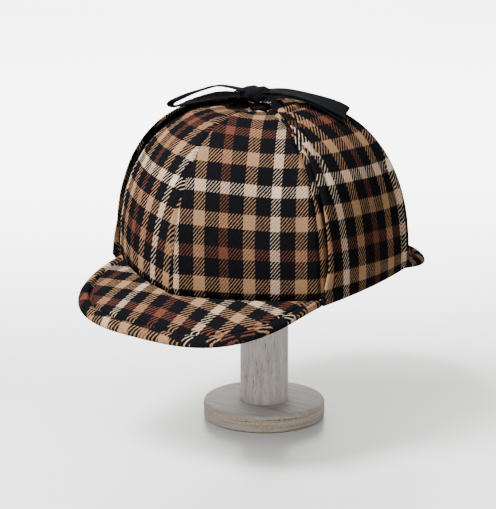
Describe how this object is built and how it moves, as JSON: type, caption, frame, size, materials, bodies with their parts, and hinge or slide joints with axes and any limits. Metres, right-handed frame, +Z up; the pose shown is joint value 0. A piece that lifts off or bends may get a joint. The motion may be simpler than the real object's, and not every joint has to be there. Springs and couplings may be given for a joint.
{
  "type": "deerstalker hat on a wooden stand",
  "caption": "Plaid wool deerstalker with a peak before and behind, ear flaps tied up over the crown in a ribbon bow, on a plain wooden stand.",
  "frame": {"origin": "middle of the stand's underside", "axes": "+Z up, -Y towards the front peak (the wearer's front), +X towards the wearer's left ear"},
  "size_m": [0.1764, 0.2593, 0.2252],
  "materials": {
    "plaid_wool": "matt brushed twill in charcoal, tan, rust and off-white checks",
    "ribbon": "black ribbed ribbon, low sheen",
    "pale_wood": "whitewashed wood, matt"
  },
  "bodies": {
    "root": {"stand_base": "pale_wood", "stand_post": "pale_wood", "crown_front_left": "plaid_wool", "crown_side_left": "plaid_wool", "crown_back_left": "plaid_wool", "crown_back_right": "plaid_wool", "crown_side_right": "plaid_wool", "crown_front_right": "plaid_wool", "crown_button": "plaid_wool", "ear_flap_left": "plaid_wool", "ear_flap_right": "plaid_wool", "front_peak": "plaid_wool", "back_peak": "plaid_wool", "ribbon_tie_left": "ribbon", "ribbon_tie_right": "ribbon", "bow_loop_left": "ribbon", "bow_loop_right": "ribbon", "bow_knot": "ribbon"}
  },
  "joints": []
}
